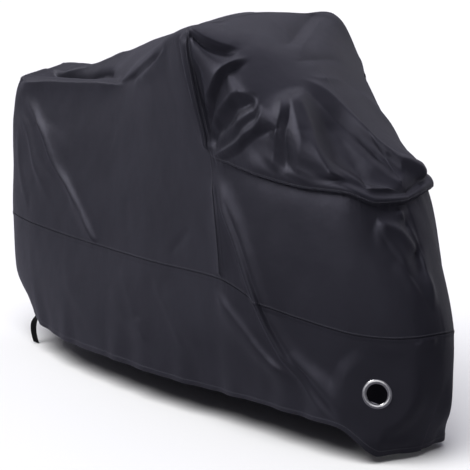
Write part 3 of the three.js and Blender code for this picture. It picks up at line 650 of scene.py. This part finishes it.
def new_piece(name, points, faces, material, cloth=None):
    """A mesh object in the frame from points in metres. cloth has each face corner's place on the cut."""
    mesh = bpy.data.meshes.new(name)
    mesh.from_pydata(np.asarray(points).tolist(), [], [list(map(int, face)) for face in faces])
    mesh.polygons.foreach_set("use_smooth", np.ones(len(mesh.polygons), bool))
    mesh.set_sharp_from_angle(angle=math.radians(62))
    if cloth is not None:
        layer = mesh.uv_layers.new(name="cloth")
        layer.uv.foreach_set("vector", (np.asarray(cloth, np.float32) * MM).reshape(-1))
    mesh.materials.append(material)
    piece = bpy.data.objects.new(name, mesh)
    bpy.context.collection.objects.link(piece)
    return piece


def dress(piece, node):
    """The piece stands for a CAD node, on the only body."""
    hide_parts(node)
    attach(piece, "root")


# The four sheets as they are cut: name, rises, stations, the flat size that each was cut from, in
# metres, and the area that is left when its curves are cut out, in square metres.
SHEETS = (
    ("seat_panel", ("seam", "spine"), (TAIL, BAR), (1.70, 2.10), 2.50),
    ("hood", ("collar", "spine"), (BAR, NOSE), (0.94, 0.90), 0.61),
    ("front_panel", ("seam", "collar"), (BAR, NOSE), (0.42, 1.64), 0.57),
    ("skirt", ("hem", "seam"), (TAIL, NOSE), (0.40, 4.94), 1.75),
)

# How round a sheet's edge is, and how far round an eyelet hole its rim is looked for.
EDGE_ROUND = 0.6
RIM_REACH = 14
RIM_DEPTH = 20


def cut_sheet(name, rises, stations, thickness):
    """One sheet of the net as a closed mesh: its outside, its inside and a round edge between them.

    cloth has the place of each face corner on the cut, and lining is 1 at the points of the inside.
    """
    net = drape()
    station = np.abs(net.cloth[..., 0]).min(axis=1)
    rise = net.cloth[..., 1].min(axis=1)
    low, high = (RISE[line] for line in rises)
    kept = (station >= stations[0]) & (station < stations[1]) & (rise >= low) & (rise < high)
    rims = []
    if name == "skirt":
        for far in (False, True):
            centre, axis = eyelet_place(far)
            off = net.points - centre
            out = np.linalg.norm(off - (off @ axis)[:, None] * axis, axis=1)
            close = (out < EYELET["hole"]) & (np.linalg.norm(off, axis=1) < 2 * EYELET["hole"])
            kept &= ~close[net.quads].any(axis=1)
            rims.append((centre, axis))
    quads, corners = net.quads[kept], net.cloth[kept]
    used, quads = np.unique(quads, return_inverse=True)
    quads = quads.reshape(-1, 4)
    outside, normals = net.points[used], net.normals[used]
    inside = net.base[used] - normals * thickness
    edges = np.stack([quads, np.roll(quads, -1, axis=1)], -1).reshape(-1, 2)
    uvs = np.stack([corners, np.roll(corners, -1, axis=1)], 2).reshape(-1, 2, 2)
    seen = {(int(a), int(b)) for a, b in edges}
    open_edges = np.array([(int(b), int(a)) not in seen for a, b in edges])
    edges, uvs = edges[open_edges], uvs[open_edges]
    for centre, axis in rims:
        for layer in (outside, inside):
            rim = np.unique(edges)
            off = layer[rim] - centre
            along = (off @ axis)[:, None] * axis
            radial = off - along
            out = np.linalg.norm(radial, axis=1, keepdims=True)
            ringed = (out[:, 0] < EYELET["hole"] + RIM_REACH) & (np.abs(off @ axis) < RIM_DEPTH)
            layer[rim[ringed]] = (centre + along + radial / out * EYELET["hole"])[ringed]
    outwards = np.zeros_like(outside)
    sides = np.cross(outside[edges[:, 1]] - outside[edges[:, 0]], normals[edges[:, 0]])
    for end in (0, 1):
        np.add.at(outwards, edges[:, end], sides)
    rim = np.unique(edges)
    outwards[rim] /= np.linalg.norm(outwards[rim], axis=1, keepdims=True)
    middle = (outside[rim] + inside[rim]) / 2 - outwards[rim] * SEAM_GAP / 2
    outside[rim] -= outwards[rim] * (SEAM_GAP / 2 + EDGE_ROUND)
    inside[rim] -= outwards[rim] * (SEAM_GAP / 2 + EDGE_ROUND)
    count = len(outside)
    place = np.zeros(count, int)
    place[rim] = 2 * count + np.arange(len(rim))
    a, b = edges.T
    outer_rim = np.stack([b, a, place[a], place[b]], -1)
    inner_rim = np.stack([place[b], place[a], a + count, b + count], -1)
    rim_cloth = uvs[:, [1, 0, 0, 1]]
    outer_step = [[0, 0], [0, 0], [0, -1], [0, -1]]
    inner_step = [[-1, 0], [-1, 0], [-1, -1], [-1, -1]]
    faces = np.concatenate([quads, quads[:, ::-1] + count, outer_rim, inner_rim])
    cloth = np.concatenate([corners, corners[:, ::-1], rim_cloth + outer_step, rim_cloth + inner_step])
    lining = np.repeat([0.0, 1.0, 0.5], [count, count, len(rim)])
    return in_frame(np.concatenate([outside, inside, middle])), faces, cloth, lining


def length_property(name, description, default, low, high):
    """A size in metres."""
    return bpy.props.FloatProperty(name=name, description=description, default=default, min=low, max=high,
                                   unit="LENGTH")


def colour_property(name, description, default):
    """A colour, each of its channels from 0 to 1."""
    return bpy.props.FloatVectorProperty(name=name, description=description, default=default, min=0, max=1,
                                         subtype="COLOR")


class CoverCloth(bpy.types.PropertyGroup):
    """The cloth of all four sheets."""

    thickness: length_property("Thickness", "Thickness of the coated cloth", 0.002, 0.001, 0.003)
    weave: length_property("Weave", "Width of one repeat of the weave", 0.0012, 0.0005, 0.01)
    roughness: bpy.props.FloatProperty(
        name="Roughness", description="Roughness of the coating", default=0.44, min=0, max=1,
        subtype="FACTOR")
    dark_colour: colour_property(
        "Dark colour", "Colour of the cloth in its darker patches", (0.0095, 0.0095, 0.0125))
    light_colour: colour_property(
        "Light colour", "Colour of the cloth in its lighter patches", (0.016, 0.016, 0.021))
    # The lining colour is painted shade: it is near black because the inside of the cover lies in shadow. The
    # inside's greater roughness is real.
    lining_shade_colour: colour_property(
        "Lining colour", "Colour of the uncoated inside of the cloth", (0.002, 0.002, 0.0025))


class CoverSewing(bpy.types.PropertyGroup):
    """The stitches of all seams."""

    pitch: length_property("Pitch", "Distance from one stitch to the next", 0.0065, 0.003, 0.02)
    length: length_property("Length", "Length of the thread that shows in one stitch", 0.0046, 0.001, 0.02)
    width: length_property("Width", "Thickness of the thread", 0.0011, 0.0003, 0.004)


class CoverEyelet(bpy.types.PropertyGroup):
    """The pressed eyelets that a lock goes through."""

    crown: length_property("Crown", "Height of the rounded front flange", 0.0042, 0.001, 0.006)
    sides: bpy.props.IntProperty(
        name="Sides", description="Sides of a turned ring", default=96, min=24, max=256)


class CoverStage(bpy.types.PropertyGroup):
    """The floor and the light."""

    floor_colour: colour_property("Floor colour", "Colour of the studio floor", (0.93, 0.93, 0.93))
    light: bpy.props.FloatProperty(
        name="Light", description="Strength of all the studio lights", default=1.0, min=0, max=10)
    surround: bpy.props.FloatProperty(
        name="Surround", description="Brightness of the room round the cover", default=0.10, min=0, max=2)
    light_colour: colour_property("Light colour", "Colour of the room's soft light", (0.86, 0.84, 1.0))


class COVER_OT_make_sheets(bpy.types.Operator):
    """Cut the four sheets of cloth from the draped net"""

    bl_idname = "cover.make_sheets"
    bl_label = "Make the sheets"

    def execute(self, context):
        thickness = context.scene.cover_cloth.thickness / MM
        for name, rises, stations, flat, area in SHEETS:
            points, faces, cloth, lining = cut_sheet(name, rises, stations, thickness)
            sheet = new_piece(f"{name}_cloth", points, faces, nylon(), cloth)
            sheet.data.attributes.new("lining", "FLOAT", "POINT").data.foreach_set("value", lining)
            dress(sheet, name)
        return {"FINISHED"}


class COVER_OT_make_eyelets(bpy.types.Operator):
    """Turn the two pressed eyelets and set them in the skirt"""

    bl_idname = "cover.make_eyelets"
    bl_label = "Make the eyelets"

    def execute(self, context):
        settings = context.scene.cover_eyelet
        bore, flange, back_flange, groove, back = (
            EYELET[key] for key in ("bore", "flange", "back_flange", "groove", "back"))
        middle, half = (bore + flange) / 2, (flange - bore) / 2
        crown = settings.crown / MM - groove
        profile = [(back_flange - 1, -back), (back_flange - 0.2, -back + 0.5), (back_flange, -groove - 0.6),
                   (back_flange - 0.5, -groove), (EYELET["hole"] - SEAM_GAP, -groove),
                   (EYELET["hole"] - SEAM_GAP, groove), (flange - 1.0, groove)]
        for k in range(17):
            turn = math.pi * k / 16
            profile.append((middle + half * math.cos(turn), groove + 0.2 + crown * math.sin(turn)**0.5))
        profile += [(bore - 0.1, 0), (bore, -back + 1.2), (bore + 0.4, -back + 0.3), (bore + 1.2, -back)]
        for name, far in (("eyelet_near", False), ("eyelet_far", True)):
            points, faces = turned(profile, settings.sides, far)
            dress(new_piece(f"{name}_ring", points, faces, steel()), name)
        return {"FINISHED"}


def turned(profile, sides, far):
    """A ring turned from a closed profile of (radius, height) about the axis of one eyelet."""
    centre, axis = eyelet_place(far)
    across = np.cross(axis, [0, 0, 1])
    across /= np.linalg.norm(across)
    up = np.cross(across, axis)
    turn = np.arange(sides) * 2 * math.pi / sides
    ring = np.cos(turn)[:, None] * across + np.sin(turn)[:, None] * up
    points = [centre - axis * CLOTH / 2 + ring * radius + axis * height for radius, height in profile]
    count = len(profile)
    k, s = np.meshgrid(np.arange(count), np.arange(sides), indexing="ij")
    after, beside = (k + 1) % count, (s + 1) % sides
    faces = np.stack([k * sides + s, after * sides + s, after * sides + beside, k * sides + beside], -1)
    return in_frame(np.concatenate(points)), faces.reshape(-1, 4)


class COVER_OT_make_strap(bpy.types.Operator):
    """Hang the webbing strap from the hem at the tail"""

    bl_idname = "cover.make_strap"
    bl_label = "Make the strap"

    def execute(self, context):
        net = drape()
        half, thick, bow = STRAP["half"], STRAP["thick"], STRAP["bow"]
        back, ahead = (net.at(False, np.array(s), np.array(0.0)) for s in STRAP["stations"])
        back_above, ahead_above = (
            net.at(False, np.array(s), np.array(float(STRAP["rise"]))) for s in STRAP["stations"])
        hem = (back + ahead) / 2
        across = (ahead - back) / np.linalg.norm(ahead - back)
        down = hem - (back_above + ahead_above) / 2
        down /= np.linalg.norm(down)
        out = np.cross(down, across)
        out /= np.linalg.norm(out)
        start = hem - out * (CLOTH + STRAP["seat"] + thick / 2)
        hang = (start + down * STRAP["past"])[2] - STRAP["clears"]
        sections = 48
        points, cloth_rows = [], []
        loop = strap_section(half, thick / 2)
        for k in range(sections + 1):
            along = -STRAP["sewn"] + (STRAP["sewn"] + STRAP["past"] + hang) * k / sections
            free = max(along - STRAP["past"], 0) / hang
            centre = start + down * min(along, STRAP["past"]) - np.array([0, 0, free * hang])
            turn = math.radians(STRAP["twist"]) * smooth(free / STRAP["twisted"])
            cos, sin = math.cos(turn), math.sin(turn)
            spin = np.array([[cos, -sin, 0], [sin, cos, 0], [0, 0, 1]])
            centre = centre - spin @ across * bow * math.sin(math.pi * free * 0.9)
            points += [centre + spin @ (across * w + out * h) for w, h in loop]
            cloth_rows.append([(along, w + (h < 0) * 2 * half) for w, h in loop])
        count = len(loop)
        faces, cloth = [], []
        for k in range(sections):
            for c in range(count):
                d = (c + 1) % count
                faces.append((k * count + c, (k + 1) * count + c, (k + 1) * count + d, k * count + d))
                cloth += [cloth_rows[k][c], cloth_rows[k + 1][c], cloth_rows[k + 1][d], cloth_rows[k][d]]
        for ring, order in ((0, 1), (sections, -1)):
            faces.append([ring * count + c for c in range(count)][::order])
            cloth += [cloth_rows[ring][c] for c in range(count)][::order]
        strap = new_piece("strap_webbing", in_frame(points), faces, webbing(), cloth)
        dress(strap, "strap")
        (STRAP["sewn"] + STRAP["past"] + hang) * MM
        return {"FINISHED"}


def strap_section(half, thick):
    """The webbing's cross-section: flat faces with round selvedges."""
    loop = []
    for side in (1, -1):
        loop += [(side * (half - 1.2) * t, side * thick) for t in (-1, -0.5, 0, 0.5)]
        loop += [(side * (half - 1.2 + 1.2 * math.sin(turn)), side * thick * math.cos(turn))
                 for turn in (0, 0.5, 1.0, 1.57, 2.14, 2.64)]
    return loop


# Rows of stitches. Each runs through places of (side, station, rise) on the cloth, in millimetres,
# and may close into a loop.
NEAR, FAR = False, True
STITCHES = (
    (((NEAR, TAIL, 18), (NEAR, NOSE, 18), (FAR, NOSE, 18), (FAR, TAIL, 18)), True),
    (((NEAR, TAIL, 377), (NEAR, NOSE, 377), (FAR, NOSE, 377), (FAR, TAIL, 377)), True),
    (((NEAR, 1658, 757), (NEAR, NOSE, 757), (FAR, NOSE, 757), (FAR, 1658, 757)), False),
    (((NEAR, 1657, 760), (NEAR, 1657, 1220), (FAR, 1657, 1220), (FAR, 1657, 760)), False),
    (((NEAR, 1643, 380), (NEAR, 1643, 1220), (FAR, 1643, 1220), (FAR, 1643, 380)), False),
)

# The steps in which a row is followed, and how far it lies off the cloth, in millimetres.
ROW_STEP = 5
THREAD_LIFT = 0.25


def stitch_tree():
    """Geometry nodes that set a stitch at every pitch along the rows."""
    tree = bpy.data.node_groups.new("seam_stitches", "GeometryNodeTree")
    tree.interface.new_socket("Rows", in_out="INPUT", socket_type="NodeSocketGeometry")
    names = {}
    for label in ("Pitch", "Length", "Width"):
        names[label] = tree.interface.new_socket(
            label, in_out="INPUT", socket_type="NodeSocketFloat").identifier
    names["Thread"] = tree.interface.new_socket(
        "Thread", in_out="INPUT", socket_type="NodeSocketMaterial").identifier
    tree.interface.new_socket("Stitches", in_out="OUTPUT", socket_type="NodeSocketGeometry")

    def node(kind, links=None, **settings):
        made = tree.nodes.new(kind)
        for name, value in settings.items():
            setattr(made, name, value)
        for key, source in (links or {}).items():
            if hasattr(source, "is_output"):
                tree.links.new(source, made.inputs[key])
            else:
                made.inputs[key].default_value = source
        return made

    given = node("NodeGroupInput").outputs
    curves = node("GeometryNodeMeshToCurve", {"Mesh": given["Rows"]})
    rows = node("GeometryNodeResampleCurve", {"Curve": curves.outputs[0], "Length": given["Pitch"]},
                mode="LENGTH")
    half = node("ShaderNodeVectorMath", {0: (0.5, 0.5, 0.5)}, operation="MULTIPLY")
    size = node("ShaderNodeCombineXYZ", {"X": given["Length"], "Y": given["Width"], "Z": given["Width"]})
    tree.links.new(size.outputs[0], half.inputs[1])
    ball = node("GeometryNodeMeshUVSphere", {"Segments": 6, "Rings": 5, "Radius": 1.0})
    smooth_ball = node("GeometryNodeSetShadeSmooth", {"Geometry": ball.outputs["Mesh"]})
    tangent = node("GeometryNodeInputTangent")
    turn = node("FunctionNodeAlignRotationToVector", {"Vector": tangent.outputs[0]}, axis="X")
    placed = node("GeometryNodeInstanceOnPoints", {
        "Points": rows.outputs[0], "Instance": smooth_ball.outputs[0], "Rotation": turn.outputs[0],
        "Scale": half.outputs[0]})
    real = node("GeometryNodeRealizeInstances", {"Geometry": placed.outputs[0]})
    coloured = node("GeometryNodeSetMaterial", {"Geometry": real.outputs[0], "Material": given["Thread"]})
    node("NodeGroupOutput", {0: coloured.outputs[0]})
    return tree, names


def stitch_rows():
    """The rows as one mesh of edges on the outside of the cloth."""
    net = drape()
    points, edges = [], []
    for places, closed in STITCHES:
        first = len(points)
        ends = list(zip(places, places[1:]))
        if closed:
            ends.append((places[-1], places[0]))
        for (far, a0, v0), (far_too, a1, v1) in ends:
            if far != far_too:
                continue
            count = max(1, round(math.hypot(a1 - a0, v1 - v0) / ROW_STEP))
            t = np.linspace(0, 1, count + 1)
            station, rise = a0 + (a1 - a0) * t, v0 + (v1 - v0) * t
            on = net.at(far, station, rise) + net.at(far, station, rise, net.normals) * THREAD_LIFT
            skip = 1 if len(points) > first else 0
            points += on[skip:].tolist()
        if closed:
            points.pop()
        edges += [(k, k + 1) for k in range(first, len(points) - 1)]
        if closed:
            edges.append((len(points) - 1, first))
    mesh = bpy.data.meshes.new("stitch_rows")
    mesh.from_pydata(in_frame(points).tolist(), edges, [])
    return mesh


class COVER_OT_sew_stitches(bpy.types.Operator):
    """Sew the rows of stitches along the hem and the seams"""

    bl_idname = "cover.sew_stitches"
    bl_label = "Sew the stitches"

    def execute(self, context):
        settings = context.scene.cover_sewing
        rows = bpy.data.objects.new("stitch_rows", stitch_rows())
        context.collection.objects.link(rows)
        tree, names = stitch_tree()
        modifier = rows.modifiers.new("Stitches", "NODES")
        modifier.node_group = tree
        modifier[names["Pitch"]] = settings.pitch
        modifier[names["Length"]] = settings.length
        modifier[names["Width"]] = settings.width
        modifier[names["Thread"]] = thread()
        context.view_layer.update()
        mesh = bpy.data.meshes.new_from_object(rows.evaluated_get(context.evaluated_depsgraph_get()))
        mesh.name = "seam_stitches"
        rows.modifiers.remove(modifier)
        bpy.data.objects.remove(rows)
        stitches = bpy.data.objects.new("seam_stitches", mesh)
        context.collection.objects.link(stitches)
        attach(stitches, "root")
        return {"FINISHED"}


# Each light has a name, the direction that it shines from, its irradiance in watts per square metre on
# a surface that faces it, the angle that it fills in the sky, and whether it lights the floor alone.
# The others light the cover alone.
LIGHTS = (
    ("key", (-0.58, -0.42, 0.70), 0.92, 34, False),
    ("back", (-0.30, 0.30, 0.90), 0.26, 45, False),
    ("side", (-0.20, -0.74, 0.64), 1.15, 22, False),
    ("front", (0.36, -0.92, 0.04), 0.17, 30, False),
    ("far_side", (0.20, 0.93, 0.30), 0.38, 60, False),
    ("floor_lamp", (0.15, -0.42, 0.90), 3.0, 50, True),
)

# Soft light from all round: direction, strength, and the cosines off it where it ends and is full.
SOFT_LIGHTS = (
    ((-0.79, 0.60, 0.12), 0.12, 0.35, 0.95),
    ((-0.85, -0.35, -0.40), 0.19, 0.45, 0.95),
    ((-0.92, 0.33, 0.20), 0.06, 0.6, 0.97),
    ((-0.20, 0.30, 0.93), 0.58, 0.7, 1.0),
    ((0.0, 0.0, 1.0), 0.05, 0.1, 0.8),
)

# The camera's lens and sensor in millimetres, its place in metres and its turn in degrees.
CAMERA = {"lens": 118.72, "sensor": 36, "place": (4.656, -3.045, 0.4), "turn": (79.082, 0, 53)}

# How far the floor reaches each way, in metres.
FLOOR_REACH = 60.0


class COVER_OT_set_stage(bpy.types.Operator):
    """Set the camera, the floor and the studio light"""

    bl_idname = "cover.set_stage"
    bl_label = "Set the stage"

    def execute(self, context):
        scene = context.scene
        settings = scene.cover_stage
        lens = bpy.data.cameras.new("camera")
        lens.lens = CAMERA["lens"]
        lens.sensor_width = CAMERA["sensor"]
        camera = bpy.data.objects.new("camera", lens)
        camera.location = CAMERA["place"]
        camera.rotation_euler = [math.radians(turn) for turn in CAMERA["turn"]]
        scene.collection.objects.link(camera)
        scene.camera = camera

        ground = -SADDLE[1] * MM
        mesh = bpy.data.meshes.new("floor")
        corners = [(-1, -1), (1, -1), (1, 1), (-1, 1)]
        mesh.from_pydata([(x * FLOOR_REACH, y * FLOOR_REACH, ground) for x, y in corners], [], [(0, 1, 2, 3)])
        material, g = new_material("studio_floor")
        place = g.add("ShaderNodeTexCoord", None, None, out="Object")
        haze = g.noise(place, 0.8, 1.0)
        tone = g.mixed(haze * 0.02, settings.floor_colour, (1, 1, 1))
        shade = g.add("ShaderNodeBsdfDiffuse", None, {"Color": tone})
        g.add("ShaderNodeOutputMaterial", None, {"Surface": shade})
        mesh.materials.append(material)
        floor = bpy.data.objects.new("floor", mesh)
        scene.collection.objects.link(floor)
        floor.visible_glossy = False

        for name, direction, strength, angle, on_floor in LIGHTS:
            data = bpy.data.lights.new(name, "SUN")
            data.energy = strength * settings.light
            data.angle = math.radians(angle)
            light = bpy.data.objects.new(name, data)
            light.rotation_euler = Vector(direction).to_track_quat("Z", "Y").to_euler()
            scene.collection.objects.link(light)
            lit = bpy.data.collections.new(f"lit_by_{name}")
            lit.objects.link(floor)
            light.light_linking.receiver_collection = lit
            lit.collection_objects[0].light_linking.link_state = "INCLUDE" if on_floor else "EXCLUDE"

        world = bpy.data.worlds.new("studio")
        scene.world = world
        g = Graph(world)
        seen = g.add("ShaderNodeLightPath")
        way = g.add("ShaderNodeTexCoord", None, None, out="Generated")
        strength = settings.surround
        for direction, power, ends, full in SOFT_LIGHTS:
            facing = g.add("ShaderNodeVectorMath", {"operation": "DOT_PRODUCT"}, {0: way, 1: direction},
                           out="Value")
            strength = facing.band(ends, full) * power + strength
        colour_of_light = rgba(settings.light_colour)
        soft = g.add("ShaderNodeBackground", None, {"Color": colour_of_light, "Strength": strength})
        white = g.add("ShaderNodeBackground", None, {"Color": (1, 1, 1, 1), "Strength": 1.0})
        both = g.add("ShaderNodeMixShader", None, {0: seen, 1: soft, 2: white})
        g.add("ShaderNodeOutputWorld", None, {"Surface": both})
        scene.view_settings.view_transform = "Standard"
        return {"FINISHED"}


class COVER_PT_panel(bpy.types.Panel):
    """The cover's sizes, colours and steps"""

    bl_idname = "COVER_PT_panel"
    bl_label = "Motorcycle cover"
    bl_space_type = "VIEW_3D"
    bl_region_type = "UI"
    bl_category = "Cover"

    def draw(self, context):
        for group in GROUPS:
            settings = getattr(context.scene, group)
            box = self.layout.box()
            for prop in settings.bl_rna.properties:
                if prop.identifier not in {"rna_type", "name"}:
                    box.prop(settings, prop.identifier)
        for step in STEPS:
            self.layout.operator(step.bl_idname)


GROUPS = {"cover_cloth": CoverCloth, "cover_sewing": CoverSewing, "cover_eyelet": CoverEyelet,
          "cover_stage": CoverStage}
STEPS = (COVER_OT_make_sheets, COVER_OT_make_eyelets, COVER_OT_make_strap, COVER_OT_sew_stitches,
         COVER_OT_set_stage)


def register():
    for made in (*GROUPS.values(), *STEPS, COVER_PT_panel):
        bpy.utils.register_class(made)
    for name, group in GROUPS.items():
        setattr(bpy.types.Scene, name, bpy.props.PointerProperty(type=group))


def unregister():
    for name in GROUPS:
        delattr(bpy.types.Scene, name)
    for made in (*GROUPS.values(), *STEPS, COVER_PT_panel):
        bpy.utils.unregister_class(made)


def main():
    register()
    bpy.ops.cover.make_sheets()
    bpy.ops.cover.make_eyelets()
    bpy.ops.cover.make_strap()
    bpy.ops.cover.sew_stitches()
    bpy.ops.cover.set_stage()


if __name__ == "__main__":
    main()
